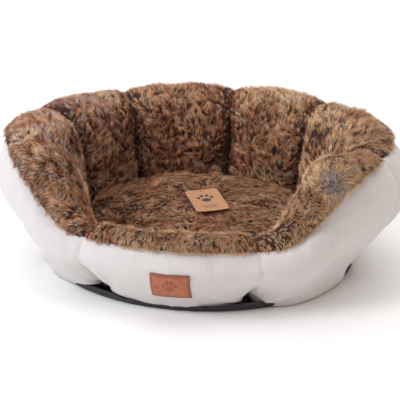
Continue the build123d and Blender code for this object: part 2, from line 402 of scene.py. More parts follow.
# Locks of strands on a grid: each lock's strands lean together and meet near its tip.
# Groom gives the pile's lie and lift, tone its palette step and pileOf its length.
def growLocks(grid, normals, count, groom, tone, pileOf):
    downGrid = unit(np.gradient(grid, axis=1))
    acrossGrid = unit(np.gradient(grid, axis=0))
    areas = np.linalg.norm(np.cross(np.gradient(grid, axis=0), np.gradient(grid, axis=1)), axis=-1)
    weights = (areas / areas.sum()).ravel()
    rows, columns = grid.shape[:2]
    perLock = furLook["strandsPerLock"]
    lockCount = count // perLock
    cell = rng.choice(rows * columns, lockCount, p=weights)
    lockRow = np.clip((cell // columns + rng.uniform(-0.5, 0.5, lockCount)) / (rows - 1), 0, 1)
    lockColumn = np.clip((cell % columns + rng.uniform(-0.5, 0.5, lockCount)) / (columns - 1), 0, 1)
    rowLength = np.linalg.norm(np.diff(grid, axis=0), axis=-1).sum(0).mean()
    columnLength = np.linalg.norm(np.diff(grid, axis=1), axis=-1).sum(1).mean()

    lockPoint = readGrid(grid, lockRow, lockColumn)
    lockNormal = unit(readGrid(normals, lockRow, lockColumn))
    lockDown = unit(readGrid(downGrid, lockRow, lockColumn))
    lockAcross = unit(readGrid(acrossGrid, lockRow, lockColumn))
    lie, lift = groom(lockPoint, lockNormal, lockDown, lockAcross, lockColumn)
    pile = pileOf(lockPoint, lockColumn) * rng.uniform(0.75, 1.2, lockCount)
    lockTip = lockPoint + (lie * np.cos(lift)[:, None] + lockNormal * np.sin(lift)[:, None]) * pile[:, None]
    lockTone = tone(lockPoint, lockColumn)

    own = np.repeat(np.arange(lockCount), perLock)
    total = len(own)
    spread = furLook["lockSpread"]
    row = np.clip(lockRow[own] + rng.normal(0, spread / rowLength, total), 0, 1)
    column = np.clip(lockColumn[own] + rng.normal(0, spread / columnLength, total), 0, 1)
    root = readGrid(grid, row, column)
    normal = unit(readGrid(normals, row, column))
    length = pile[own] * rng.uniform(0.72, 1.15, total)
    stray = rng.normal(0, 0.22, (total, 3))
    lieOwn = unit(lie[own] + stray)
    liftOwn = lift[own] + rng.normal(0, 0.12, total)
    free = root + (lieOwn * np.cos(liftOwn)[:, None] + normal * np.sin(liftOwn)[:, None]) * length[:, None]
    tip = mix(free, lockTip[own] + rng.normal(0, 0.0012, (total, 3)), 0.62)
    middle = root + (normal * 0.62 + lieOwn * 0.38) * (length * 0.42)[:, None]
    width = furLook["strandWidth"] * rng.uniform(0.6, 1.25, total)
    width *= np.where(partingShare(root)[0] < 1.1, 1.35, 1.0)
    steps = np.round(lockTone[own] + rng.normal(0, 0.55, total))
    steps = np.where(lockTone[own] > ashStep - 0.5, ashStep, np.clip(steps, 0, ashStep - 1))
    return strandPoints(root, middle, tip, width), (steps + 0.5) / paletteSteps


# Brushed-apart spots along the rim, by oval angle and by share of the lining's length.
partings = [
    {"angle": 51, "column": 0.92, "radius": 27 * mm},
    {"angle": 42, "column": 0.94, "radius": 13 * mm},
    {"angle": -62, "column": 0.91, "radius": 17 * mm},
]
for parting in partings:
    spotAngles = np.array([parting["angle"], parting["angle"] + 0.5])
    spot = wallGrid(spotAngles, innerFoot, rimSeam, 60, 0.0, -furStop(spotAngles))
    parting["point"] = spot[0, int(parting["column"] * 59)]


def partingShare(points):
    share = np.full(len(points), 9.0)
    away = np.zeros_like(points)
    for parting in partings:
        offset = points - parting["point"]
        distance = np.linalg.norm(offset, axis=1) / parting["radius"]
        nearer = distance < share
        share = np.where(nearer, distance, share)
        away = np.where(nearer[:, None], unit(offset), away)
    return share, away


def wallGroom(points, normal, down, across, column):
    swirl = softNoise(points, 80 * mm, 7) * 0.8 + softNoise(points, 22 * mm, 8) * 0.7
    swirl *= 1 - 0.6 * smooth((column - 0.8) / 0.15)
    lie = down * np.cos(swirl)[:, None] + across * np.sin(swirl)[:, None]
    near, away = partingShare(points)
    lie = unit(lie + away * (5 * smooth((1.3 - near) / 0.3))[:, None])
    lift = 0.52 + 0.22 * softNoise(points, 24 * mm, 9) - 0.3 * smooth((column - 0.9) / 0.08)
    lift = np.where(near < 1.2, 0.3, lift)
    return lie, np.clip(lift, 0.1, 1.15)


def seamCloseness(points, reachDegrees):
    offset = points - np.array(nestMiddle)
    polarAngle = np.arctan2(offset[..., 0], -offset[..., 1])
    ovalAngle = np.degrees(np.arctan2(np.sin(polarAngle) / planAspect, np.cos(polarAngle)))
    return np.exp(-(seamDistance(ovalAngle)[0] / reachDegrees) ** 2)


def wallTone(points, column):
    tone = 3.0 + 0.6 * softNoise(points, 70 * mm, 11) + 0.6 * softNoise(points, 18 * mm, 12)
    # Painted light and shade: palette steps rise towards the rim and towards the front, where more light
    # falls, so the lower wall is darker. The random steps are the fur's own, and the steps also rise towards
    # the right.
    tone += 0.9 * smooth((column - 0.62) / 0.3) + rng.normal(0, 1.2, len(points))
    tone += 1.3 * smooth((points[:, 0] + 0.02) / 0.2) + 0.5 * smooth((-0.12 - points[:, 1]) / 0.08)
    tone -= 0.5 * smooth((column - 0.75) / 0.15) * smooth((-0.16 - points[:, 0]) / 0.08)
    # Painted shade: strands beside each seam take darker palette steps, for the shade in the seam's crease.
    tone = np.minimum(tone - 2.4 * seamCloseness(points, 2.4), 5.9)
    greyShare = 0.05 + 0.16 * smooth((-0.1 - points[:, 0]) / 0.12)
    tone = np.where(rng.random(len(points)) < greyShare, 7.0, tone)
    near = partingShare(points)[0]
    tone = np.where(near < 0.72, 7.0, tone)
    return np.where((near >= 0.72) & (near < 1.1), 6.0 + 0.3 * rng.normal(size=len(points)), tone)


def wallPile(points, column):
    near = partingShare(points)[0]
    pile = furLook["pile"] * (1 - 0.25 * smooth((0.25 - column) / 0.25))
    pile = pile * (1 - 0.3 * smooth((column - 0.88) / 0.12))
    return pile * np.where(near < 0.75, 0.8, 1.0) * (1 - 0.6 * seamCloseness(points, 3.0))


skinTone = 1.5 / paletteSteps                    # the backing cloth has the palette's second colour


def skinSheet(grid, normals, lift, thickness):
    top = grid + normals * lift
    points, faces = sheetBetween(top, top - normals * thickness)
    rows, columns = grid.shape[:2]
    place = np.stack(np.meshgrid(np.linspace(0, 1, rows), np.linspace(0, 1, columns), indexing="ij"), -1)
    # Low on the root-to-tip ramp, so the backing takes the same painted shade as the roots of the pile.
    uv = place.reshape(-1, 2) * [0.06, 0.12] + [skinTone - 0.03, 0.02]
    return points, faces, np.concatenate([uv, uv + [0.002, 0.003]]), top


for number in range(1, len(seams) + 1):
    middle = seams[number - 1] + spans[number - 1] / 2
    half = spans[number - 1] / 2 - 0.1
    angles = middle + half * np.sin(np.linspace(-math.pi / 2, math.pi / 2, 49))
    grid = wallGrid(angles, innerFoot, rimSeam, 60, 0.0, -furStop(angles))
    normals = normalsOf(grid)
    lumps = softNoise(grid, 60 * mm, 20 + number) * 1.6 * mm
    crease = furLook["crease"] * np.exp(-(seamDistance(angles)[0] / 1.3) ** 2)
    lumps -= crease[:, None] * (1 - 0.75 * smooth((np.linspace(0, 1, 60) - 0.55) / 0.15))
    high = smooth((grid[..., 2] - 85 * mm) / (45 * mm))
    lumps += furLook["puff"] * (1 - alongChamber(angles) ** 2)[:, None] * high
    for parting in partings:
        away = np.linalg.norm(grid - parting["point"], axis=-1) / parting["radius"]
        ring, hollow = np.exp(-((away - 0.85) / 0.4) ** 2), np.exp(-(away / 0.4) ** 2)
        lumps += parting["radius"] * (0.42 * ring - 0.12 * hollow)
    skinPoints, skinFaces, skinUv, top = skinSheet(grid + normals * lumps[..., None], normals,
                                                   furLook["skinLift"], furLook["skinThickness"])
    near = partingShare(skinPoints)[0]
    skinUv[near < 0.8, :] = [(ashStep + 0.5) / paletteSteps, 0.5]
    skinUv[(near >= 0.8) & (near < 1.3), :] = [5.5 / paletteSteps, 0.5]
    strands, tones = growLocks(top, normals, furLook["wallStrands"], wallGroom, wallTone, wallPile)
    fur = addFurPiece(f"fur_lining_{number}_pile", skinPoints, skinFaces, skinUv, strands, tones)
    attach(fur, "bed")
    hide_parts(f"fur_lining_{number}")
print("wall fur grown")

# Wall fillings and dividers.
fillingLook = {"sink": 7 * mm, "margin": 2.0, "dividerShare": 0.62, "dividerThickness": 0.8 * mm}


# Polyester fibre fill, non-woven dividers and quilted wadding: white, very matt, a clumpy surface.
def makeFillMaterial(name, low, high, size):
    material, tree, shader = newMaterial(name)
    place = addNode(tree, "TexCoord")
    clumps = addNode(tree, "TexNoise", values={"Scale": 1 / size, "Detail": 5.0},
                     links={"Vector": place.outputs["Object"]})
    tint = addNode(tree, "ValToRGB", links={"Fac": clumps.outputs["Fac"]},
                   stops=[(0.3, low), (0.7, high)])
    setFinish(tree, shader, tint.outputs["Color"], 0.95, clumps.outputs["Fac"], 0.5, 1 * mm)
    return material


fibreFill = makeFillMaterial("polyesterFibreFill", "#dcdcd8", "#f4f4f2", 9 * mm)
nonwoven = makeFillMaterial("spunbondNonwoven", "#c9c9c6", "#e2e2df", 2 * mm)

for number in range(1, len(seams) + 1):
    middle, half = seams[number - 1] + spans[number - 1] / 2, spans[number - 1] / 2 - fillingLook["margin"]
    angles = np.linspace(middle - half, middle + half, 28)
    grid = wallGrid(angles, innerFoot, outerFoot, 48)
    lumps = softNoise(grid, 40 * mm, 70 + number) * 1 * mm
    grid = grid - normalsOf(grid) * (fillingLook["sink"] + lumps)[..., None]
    grid[..., 2] = np.maximum(grid[..., 2], wallPlan["floor"])
    faces = gridFaces(28, 48) + [(i * 48 + 47, (i + 1) * 48 + 47, (i + 1) * 48, i * 48) for i in range(27)]
    faces += [tuple(reversed(range(48))), tuple(27 * 48 + k for k in range(48))]
    filling = addMesh(f"wall_fibre_{number}", grid.reshape(-1, 3), faces, fibreFill)
    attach(filling, "bed")
    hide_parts(f"wall_filling_{number}")

    end = np.array([(seams[number - 1] + spans[number - 1])])
    section = wallGrid(end, innerFoot, outerFoot, 40)[0]
    section = section.mean(0) + (section - section.mean(0)) * fillingLook["dividerShare"]
    a = float(polar(signedAngle(end))[0])
    along = np.array([math.cos(a), math.sin(a), 0]) * fillingLook["dividerThickness"] / 2
    faces = [tuple(reversed(range(40))), tuple(range(40, 80))]
    faces += [(k, (k + 1) % 40, (k + 1) % 40 + 40, k + 40) for k in range(40)]
    points = np.concatenate([section - along, section + along])
    divider = addMesh(f"chamber_divider_{number}", points, faces, nonwoven)
    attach(divider, "bed")
    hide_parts(f"chamber_baffle_{number}")
print("wall filled")

# Linen cover.
linenLook = {
    "lift": 4 * mm, "thickness": 1.2 * mm, "rounds": 640, "rows": 70,
    "softWaves": 2.6 * mm, "smallWaves": 0.55 * mm, "tuckFolds": 3.4 * mm, "puckers": 0.7 * mm,
    "seamGroove": 2.6 * mm,
    "thread": 1.6 * mm,                       # drawn about twice as coarse as the real yarn, so that it shows
}


# Linen-look polyester: plain weave with uneven slub yarns, dry and matt, a faint sheen from the fibre ends.
def makeLinenMaterial():
    material, tree, shader = newMaterial("linenLookPlainWeave")
    plan = addNode(tree, "UVMap", {"uv_map": "clothPlan"})
    parts = addNode(tree, "SeparateXYZ", links={"Vector": plan.outputs["UV"]})
    slub = addNode(tree, "TexNoise", values={"Scale": 60.0, "Detail": 3.0},
                   links={"Vector": plan.outputs["UV"]})
    threads = []
    for axis in ("X", "Y"):
        wobble = addNode(tree, "Math", {"operation": "MULTIPLY_ADD"},
                         {1: 0.004, 2: 0.0}, {0: slub.outputs["Fac"]})
        along = addNode(tree, "Math", {"operation": "ADD"},
                        links={0: parts.outputs[axis], 1: wobble.outputs[0]})
        turns = addNode(tree, "Math", {"operation": "MULTIPLY"},
                        {1: 2 * math.pi / linenLook["thread"]}, {0: along.outputs[0]})
        threads.append(addNode(tree, "Math", {"operation": "SINE"}, links={0: turns.outputs[0]}))
    weave = addNode(tree, "Math", {"operation": "MULTIPLY"},
                    links={0: threads[0].outputs[0], 1: threads[1].outputs[0]})
    streaks = []
    for stretch in ((40.0, 420.0, 1.0), (420.0, 40.0, 1.0)):
        place = addNode(tree, "Mapping", values={"Scale": stretch}, links={"Vector": plan.outputs["UV"]})
        streaks.append(addNode(tree, "TexNoise", values={"Scale": 1.0, "Detail": 2.0},
                               links={"Vector": place.outputs[0]}).outputs["Fac"])
    slubs = addNode(tree, "Math", {"operation": "ADD"}, links={0: streaks[0], 1: streaks[1]})
    half = addNode(tree, "Math", {"operation": "MULTIPLY"}, {1: 0.5}, {0: slubs.outputs[0]})
    tint = addNode(tree, "ValToRGB", links={"Fac": half.outputs[0]},
                   stops=[(0.30, "#d3cdcb"), (0.5, "#d9d4d2"), (0.72, "#dfdad8")])
    height = addNode(tree, "Math", {"operation": "MULTIPLY_ADD"}, {1: 0.5},
                     {0: weave.outputs[0], 2: half.outputs[0]})
    setFinish(tree, shader, tint.outputs["Color"], 0.85, height.outputs[0], 0.35, 0.6 * mm,
              more={"Specular IOR Level": 0.25, "Sheen Weight": 0.2})
    return material


linenMaterial = makeLinenMaterial()


# Folds that run up and out from the tuck at the foot of each seam.
def tuckFolds(angles, shares):
    distance, seam = seamDistance(angles)
    towards = distance[:, None] * 4.2 * mm
    up = shares[None, :] * 150 * mm
    away = np.hypot(towards, up)
    fan = np.arctan2(towards, up + 6 * mm)
    folds = np.sin(fan * 8 + seam[:, None] * 2.1) * np.exp(-away / (48 * mm)) * smooth(away / (16 * mm))
    return folds


# Little gathers beside each seam, and the groove of the seam itself.
def seamPuckers(angles, grid):
    distance, seam = seamDistance(angles)
    beat = np.sin(grid[..., 2] / (3.1 * mm) + 1.6 * softNoise(grid, 40 * mm, 34) + seam[:, None])
    puckers = beat * np.exp(-distance / 4.5)[:, None] * linenLook["puckers"]
    share = grid[..., 2] / grid[..., 2].max(1, keepdims=True)
    fade = 1 - 0.85 * smooth((share - np.array(wallPlan["tuckHeights"])[seam][:, None] * 0.6) / 0.25)
    return (puckers - linenLook["seamGroove"] * np.exp(-(distance / 0.55) ** 2)[:, None]) * fade


def linenGrid():
    spread = np.linspace(0, 360, linenLook["rounds"], endpoint=False)
    angles = signedAngle(spread)
    grid = wallGrid(angles, rimSeam, outerFoot, linenLook["rows"], -furStop(angles))
    normals = normalsOf(grid, closed=True)
    shares = 1 - np.linspace(0, 1, linenLook["rows"])
    waves = softNoise(grid, 120 * mm, 31) * linenLook["softWaves"]
    waves += softNoise(grid * [1, 1, 0.45], 30 * mm, 32) * linenLook["smallWaves"]
    waves += tuckFolds(angles, shares) * linenLook["tuckFolds"] + seamPuckers(angles, grid)
    edge = smooth((1 - shares) / 0.1)
    puff = np.array(wallPlan["footPuffs"])[chamberAt(angles)] * mm * (1 - alongChamber(angles) ** 4)
    sag = puff[:, None] * np.exp(-(grid[..., 2] / (34 * mm)) ** 2)
    outward = unit((grid - np.array(nestMiddle)) * [1, 1, 0])
    distance, seam = seamDistance(angles)
    share = grid[..., 2] / grid[..., 2].max(1, keepdims=True)
    cut = (np.array(wallPlan["seamCuts"])[seam] * mm * np.exp(-(distance / 1.7) ** 2))[:, None]
    sag = sag - cut * (1 - smooth((share - 0.12) / (np.array(wallPlan["tuckHeights"])[seam][:, None] * 0.8)))
    grid = grid + normals * (linenLook["lift"] + waves * edge[None, :])[..., None] + outward * sag[..., None]
    rise, span = np.array(wallPlan["footRises"])[seam] * mm, np.array(wallPlan["footRiseSpans"])[seam]
    foot = (rise * np.exp(-(distance / span) ** 2))[:, None]
    grid[..., 2] = np.maximum(grid[..., 2] - 0.15 * sag + foot * np.exp(-grid[..., 2] / (22 * mm)), 1.6 * mm)
    return grid, normals


linenOuter, linenNormals = linenGrid()
linenInner = linenOuter - linenNormals * linenLook["thickness"]
linenPoints, linenFaces = sheetBetween(linenOuter, linenInner, closed=True)
around = np.linspace(0, 1.6, linenLook["rounds"])[:, None] * np.ones((1, linenLook["rows"]))
downward = np.linspace(0, 0.2, linenLook["rows"])[None, :] * np.ones((linenLook["rounds"], 1))
linenUv = np.tile(np.stack([around, downward], -1).reshape(-1, 2), (2, 1))
linenCover = addMesh("linen_cover", linenPoints, linenFaces, linenMaterial, linenUv, "clothPlan")
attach(linenCover, "bed")
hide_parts(*[f"linen_cover_{k + 1}" for k in range(len(seams))])
print("linen cover made")

# Base panel.
baseLook = {"lipHeight": 8 * mm, "seamLift": 4 * mm, "rumple": 2.2 * mm,
            "thickness": 1.6 * mm, "thread": 1.4 * mm}


# Coated oxford cloth: black basket weave, a thin coating gives it a low, even shine.
def makeOxfordMaterial():
    material, tree, shader = newMaterial("coatedOxfordCloth")
    place = addNode(tree, "TexCoord")
    parts = addNode(tree, "SeparateXYZ", links={"Vector": place.outputs["Object"]})
    waves = []
    for axis in ("X", "Y"):
        turns = addNode(tree, "Math", {"operation": "MULTIPLY"},
                        {1: 2 * math.pi / baseLook["thread"]}, {0: parts.outputs[axis]})
        waves.append(addNode(tree, "Math", {"operation": "SINE"}, links={0: turns.outputs[0]}))
    weave = addNode(tree, "Math", {"operation": "MULTIPLY"},
                    links={0: waves[0].outputs[0], 1: waves[1].outputs[0]})
    dust = addNode(tree, "TexNoise", values={"Scale": 45.0, "Detail": 4.0},
                   links={"Vector": place.outputs["Object"]})
    tint = addNode(tree, "ValToRGB", links={"Fac": dust.outputs["Fac"]},
                   stops=[(0.35, "#17171a"), (0.7, "#2b2a2e")])
    setFinish(tree, shader, tint.outputs["Color"], 0.55, weave.outputs[0], 0.4, 0.4 * mm)
    return material


def makeBasePanel():
    rounds, rings = 360, 14
    angles = np.linspace(-180, 180, rounds, endpoint=False)
    baseLow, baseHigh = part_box("base_panel")
    side = (baseHigh.x - baseLow.x) / 2
    depth = (baseHigh.y - baseLow.y) / 2
    a = polar(angles)
    edge = reach(a, side, depth, depth)
    ringPoint = np.stack([np.sin(a) * edge, -np.cos(a) * edge, np.zeros(rounds)], -1)
    rumple = softNoise(ringPoint, 60 * mm, 51) * 0.6 + softNoise(ringPoint, 24 * mm, 52) * 0.4
    lipHeight = baseLook["lipHeight"] + baseLook["seamLift"] * np.exp(-(seamDistance(angles)[0] / 7) ** 2)
    rows = []
    for share in np.linspace(0.0, 1.0, rings):
        if share < 0.6:                          # flat bottom, out to where the lip turns up
            radius = edge * (share / 0.6) * 0.97
            z = np.zeros(rounds)
        else:
            turn = (share - 0.6) / 0.4
            radius = edge * (0.97 + 0.03 * math.sin(turn * math.pi / 2))
            radius = radius + rumple * baseLook["rumple"] * turn * 0.6
            z = (1 - math.cos(turn * math.pi / 2)) * (lipHeight + np.abs(rumple) * baseLook["rumple"])
        rows.append(np.stack([nestMiddle.x + radius * np.sin(a), nestMiddle.y - radius * np.cos(a), z], -1))
    under = np.stack(rows, 1)
    inward = np.array(nestMiddle) - under
    inward[..., 2] = 0
    share = np.linspace(0, 1, rings)
    over = under + unit(inward) * baseLook["thickness"] * smooth((share - 0.5) / 0.3)[None, :, None]
    over[..., 2] += baseLook["thickness"] * (1 - 0.7 * smooth((share - 0.6) / 0.4))
    points, faces = sheetBetween(under[:, 1:], over[:, 1:], closed=True)
    base = len(points)
    centres = [[nestMiddle.x, nestMiddle.y, z] for z in (0, baseLook["thickness"])]
    points = np.concatenate([points, centres])
    inner = rings - 1
    count = rounds * inner
    faces = [f for f in faces if not (len(f) == 4 and f[0] % inner == 0 and f[1] == f[0] + count)]
    for i in range(rounds):
        j = (i + 1) % rounds
        faces.append((base, j * inner, i * inner))
        faces.append((base + 1, count + i * inner, count + j * inner))
    piece = addMesh("base_panel_cloth", points, faces, makeOxfordMaterial())
    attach(piece, "bed")
    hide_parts("base_panel")


makeBasePanel()
print("base panel made")

# Loose cushion.
cushionLow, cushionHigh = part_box("cushion_fur")
cushionLook = {
    "side": (cushionHigh.x - cushionLow.x) / 2, "depth": (cushionHigh.y - cushionLow.y) / 2,
    "bottom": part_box("cushion_base_cloth")[0].z, "top": cushionHigh.z,
    "seam": (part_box("cushion_piping")[0].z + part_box("cushion_piping")[1].z) / 2,
    "pile": 12 * mm, "crown": 9 * mm,
}


# Grid of the cushion's upper skin: rows go round, columns from the edge seam to the middle.
def cushionTop(rounds=96, columns=44):
    c = cushionLook
    angles = np.linspace(-180, 180, rounds)
    share = np.linspace(0, 1, columns)
    outward = np.cos(share * math.pi / 2) ** 0.62
    outward[-1] = 0.004
    rise = 1 - (1 - share) ** 2.6
    skinTop = c["top"] - 9 * mm
    height = c["seam"] + (skinTop - c["seam"]) * np.minimum(rise * 1.02, 1)
    height += c["crown"] * 0.5 * smooth((share - 0.1) / 0.9)
    a = np.radians(angles)[:, None]
    grid = np.stack([nestMiddle.x + (c["side"] - 6 * mm) * outward * np.sin(a),
                     nestMiddle.y - (c["depth"] - 6 * mm) * outward * np.cos(a),
                     height * np.ones_like(a)], -1)
    lumps = softNoise(grid, 110 * mm, 61) * 2.5 * mm * smooth(share / 0.3)[None, :]
    grid[..., 2] += lumps
    return grid


tagLow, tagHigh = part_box("swing_tag")
tagMiddle = (tagLow + tagHigh) / 2


def underTag(points):
    offset = points[:, :2] - np.array(tagMiddle)[:2]
    return np.exp(-(np.linalg.norm(offset, axis=1) / (40 * mm)) ** 4)


def cushionGroom(points, normal, down, across, column):
    heading = 0.5 + 0.9 * softNoise(points, 130 * mm, 63) + 0.6 * softNoise(points, 42 * mm, 64)
    lie = np.stack([np.cos(heading), -np.sin(heading) * 0.6 - 0.2, np.zeros(len(points))], -1)
    lie = unit(lie - normal * (lie * normal).sum(-1, keepdims=True))
    lift = 0.42 + 0.22 * softNoise(points, 26 * mm, 65)
    return lie, np.clip(lift * (1 - 0.75 * underTag(points)), 0.06, 0.9)


def cushionTone(points, column):
    tone = 3.5 + 0.5 * softNoise(points, 70 * mm, 66) + 0.6 * softNoise(points, 20 * mm, 67)
    tone += 0.5 * smooth((points[:, 0] + 0.05) / 0.15)
    tone = np.minimum(tone + rng.normal(0, 1.1, len(points)), 5.9)
    return np.where(rng.random(len(points)) < 0.04, 7.0, tone)


def cushionPile(points, column):
    return cushionLook["pile"] * (1 - 0.3 * underTag(points))


def makeCushion():
    grid = cushionTop()
    normals = normalsOf(grid)
    normals = normals * np.sign(normals[..., 2].mean())      # the pile side faces up
    halves = 2
    rows = grid.shape[0]
    pieces = []
    for part in range(halves):
        first, last = part * (rows // halves), min((part + 1) * (rows // halves), rows - 1)
        partGrid, partNormals = grid[first:last + 1], normals[first:last + 1]
        skinPoints, skinFaces, skinUv, top = skinSheet(partGrid, partNormals, 0.0, furLook["skinThickness"])
        strands, tones = growLocks(top, partNormals, furLook["cushionStrands"],
                                   cushionGroom, cushionTone, cushionPile)
        side = "left" if part == 0 else "right"
        pieces.append(addFurPiece(f"cushion_fur_{side}", skinPoints, skinFaces, skinUv, strands, tones))
    for piece in pieces:
        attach(piece, "cushion")
        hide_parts("cushion_fur")


makeCushion()


# Dark plain cloth under the cushion, and the same cloth round its piping: matt, fine weave.
def makeCushionClothMaterial():
    material, tree, shader = newMaterial("darkPlainCloth")
    place = addNode(tree, "TexCoord")
    fibre = addNode(tree, "TexNoise", values={"Scale": 900.0, "Detail": 2.0},
                    links={"Vector": place.outputs["Object"]})
    tint = addNode(tree, "ValToRGB", links={"Fac": fibre.outputs["Fac"]},
                   stops=[(0.3, "#2a2d28"), (0.7, "#4a4d45")])
    setFinish(tree, shader, tint.outputs["Color"], 0.9, fibre.outputs["Fac"], 0.4, 0.5 * mm)
    return material


clothMaterial = makeCushionClothMaterial()


def makeCushionUnderside():
    c = cushionLook
    rounds, columns = 180, 16
    a = np.radians(np.linspace(-180, 180, rounds, endpoint=False))[:, None]
    share = np.linspace(0, 1, columns)
    outward = np.sin(np.clip(share * 1.25, 0, 1) * math.pi / 2) ** 0.5 * (1 - 0.02 * share)
    outward[0] = 0.02
    height = c["bottom"] + (c["seam"] - 3 * mm - c["bottom"]) * smooth((share - 0.55) / 0.45) ** 1.2
    grid = np.stack([nestMiddle.x + (c["side"] - 7 * mm) * outward * np.sin(a),
                     nestMiddle.y - (c["depth"] - 7 * mm) * outward * np.cos(a),
                     height * np.ones_like(a)], -1)
    gather = np.sin(a * 41 + np.sin(a * 7) * 2) * 0.8 * mm * smooth((share - 0.6) / 0.4)
    normals = normalsOf(grid, closed=True)
    grid = grid + normals * gather[..., None]
    points, faces = sheetBetween(grid, grid + normals * 1 * mm, closed=True)
    under = addMesh("cushion_underside", points, faces, clothMaterial)
    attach(under, "cushion")
    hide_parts("cushion_base_cloth")


makeCushionUnderside()


def makePiping():
    c = cushionLook
    rounds, sides, thick = 240, 10, 2.5 * mm
    a = np.radians(np.linspace(-180, 180, rounds, endpoint=False))[:, None]
    b = np.linspace(0, 2 * math.pi, sides + 1)[None, :]
    wander = np.sin(a * 5 + 1) * 0.8 * mm
    out = thick * np.cos(b)
    grid = np.stack([nestMiddle.x + (c["side"] - 4 * mm + out) * np.sin(a),
                     nestMiddle.y - (c["depth"] - 4 * mm + out) * np.cos(a),
                     c["seam"] + wander + thick * np.sin(b)], -1)
    points = grid[:, :-1].reshape(-1, 3)
    faces = []
    for i in range(rounds):
        for j in range(sides):
            k, m = ((i + 1) % rounds) * sides, (j + 1) % sides
            faces.append((i * sides + j, k + j, k + m, i * sides + m))
    piping = addMesh("cushion_edge_piping", points, faces, clothMaterial)
    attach(piping, "cushion")
    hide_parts("cushion_piping")


makePiping()
print("cushion made")

# Leather patch.
patchLow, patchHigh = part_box("leather_patch")
patchLook = {
    "width": patchHigh.x - patchLow.x, "height": 41 * mm, "middle": (patchLow.z + patchHigh.z) / 2,
    "thickness": 1.7 * mm, "corner": 2 * mm, "stitchInset": 2.4 * mm, "stitchPitch": 3.2 * mm,
    "motif": 10.5 * mm, "pressed": 0.6 * mm,
}
pawPads = [(0, -0.35, 0.62, 0.5), (-0.78, 0.25, 0.24, 0.34), (-0.3, 0.72, 0.25, 0.36),
           (0.3, 0.72, 0.25, 0.36), (0.78, 0.25, 0.24, 0.34)]       # middle x, y, half width, half height


# Where the outline of the linen's outside lies in front, at a place across and up.
def linenFront(x, z):
    offset = np.abs(linenOuter[..., 0] - x) ** 2 + np.abs(linenOuter[..., 2] - z) ** 2
    offset = np.where(linenOuter[..., 1] < nestMiddle.y, offset, 1.0)
    nearest = np.argsort(offset.ravel())[:6]
    weight = 1 / (offset.ravel()[nearest] + 1e-7)
    return float((linenOuter[..., 1].ravel()[nearest] * weight).sum() / weight.sum())


# Vegetable-tanned look leather: fine pebble grain, slight colour drift, darker cut edges.
def makeLeatherMaterial():
    material, tree, shader = newMaterial("pebbledTanLeather")
    plan = addNode(tree, "UVMap", {"uv_map": "patchPlan"})
    drift = addNode(tree, "TexNoise", values={"Scale": 90.0, "Detail": 4.0},
                    links={"Vector": plan.outputs["UV"]})
    tint = addNode(tree, "ValToRGB", links={"Fac": drift.outputs["Fac"]},
                   stops=[(0.3, "#a2573a"), (0.7, "#b86e4b")])
    dark = addNode(tree, "Attribute", {"attribute_name": "burnish"})
    mixEdge = addNode(tree, "Mix", {"data_type": "RGBA", "blend_type": "MULTIPLY"},
                      links={"Factor": dark.outputs["Fac"]})
    tree.links.new(tint.outputs["Color"], mixEdge.inputs["A"])
    mixEdge.inputs["B"].default_value = linear("#8f6a55")
    grain = addNode(tree, "TexVoronoi", {"feature": "DISTANCE_TO_EDGE"}, {"Scale": 1100.0},
                    {"Vector": plan.outputs["UV"]})
    setFinish(tree, shader, mixEdge.outputs["Result"], 0.52, grain.outputs["Distance"], 0.35)
    return material


def pawDepth(x, y, size):
    depth = np.zeros_like(x)
    for px, py, hw, hh in pawPads:
        inside = 1 - np.hypot((x / size - px) / hw, (y / size - py) / hh)
        depth = np.maximum(depth, smooth(inside / 0.22))
    return depth


def makePatch():
    p = patchLook
    columns, rows = 109, 83
    x = np.linspace(-p["width"] / 2, p["width"] / 2, columns)
    z = np.linspace(-p["height"] / 2, p["height"] / 2, rows)
    gridX, gridZ = np.meshgrid(x, z, indexing="ij")
    halfX, halfZ = p["width"] / 2, p["height"] / 2
    steps = (-1, -0.5, 0, 0.5, 1)
    coarse = np.array([[linenFront(i * halfX, p["middle"] + j * halfZ) for j in steps] for i in steps])
    terms = np.array([[1, i, j, i * i, i * j, j * j] for i in steps for j in steps])
    fit = np.linalg.lstsq(terms, coarse.ravel(), rcond=None)[0]
    u, v = gridX / halfX, gridZ / halfZ
    front = fit[0] + fit[1] * u + fit[2] * v + fit[3] * u * u + fit[4] * u * v + fit[5] * v * v
    worst = max(0.0, float((terms @ fit - coarse.ravel()).max()))
    motif = pawDepth(gridX, gridZ - 1 * mm, p["motif"])
    dashes = (np.abs(np.abs(gridX) - 17.5 * mm) < 2.6 * mm) & (np.abs(gridZ) < 0.7 * mm)
    edge = np.minimum(halfX - np.abs(gridX), halfZ - np.abs(gridZ))
    groove = np.exp(-((edge - p["stitchInset"]) / (0.7 * mm)) ** 2)
    rounded = smooth(edge / (1.2 * mm))
    lift = p["thickness"] * mix(0.55, 1.0, rounded) - p["pressed"] * (motif + dashes) - 0.25 * mm * groove
    outer = np.stack([gridX, front - worst - 0.3 * mm - lift, p["middle"] + gridZ], -1)
    inner = np.stack([gridX, front + 0.2 * mm, p["middle"] + gridZ], -1)
    points, faces = sheetBetween(outer, inner)
    uv = np.tile(np.stack([gridX, gridZ], -1).reshape(-1, 2), (2, 1))
    patch = addMesh("leather_patch_embossed", points, faces, makeLeatherMaterial(), uv, "patchPlan")
    burnish = 0.75 * np.exp(-edge / (1.3 * mm)) + 0.45 * motif + 0.45 * dashes + 0.25 * groove
    layer = patch.data.attributes.new("burnish", "FLOAT", "POINT")
    layer.data.foreach_set("value", np.tile(np.clip(burnish, 0, 1).ravel(), 2).astype(np.float32))
    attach(patch, "bed")
    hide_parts("leather_patch")
    return outer, x, z


patchSurface, patchX, patchZ = makePatch()


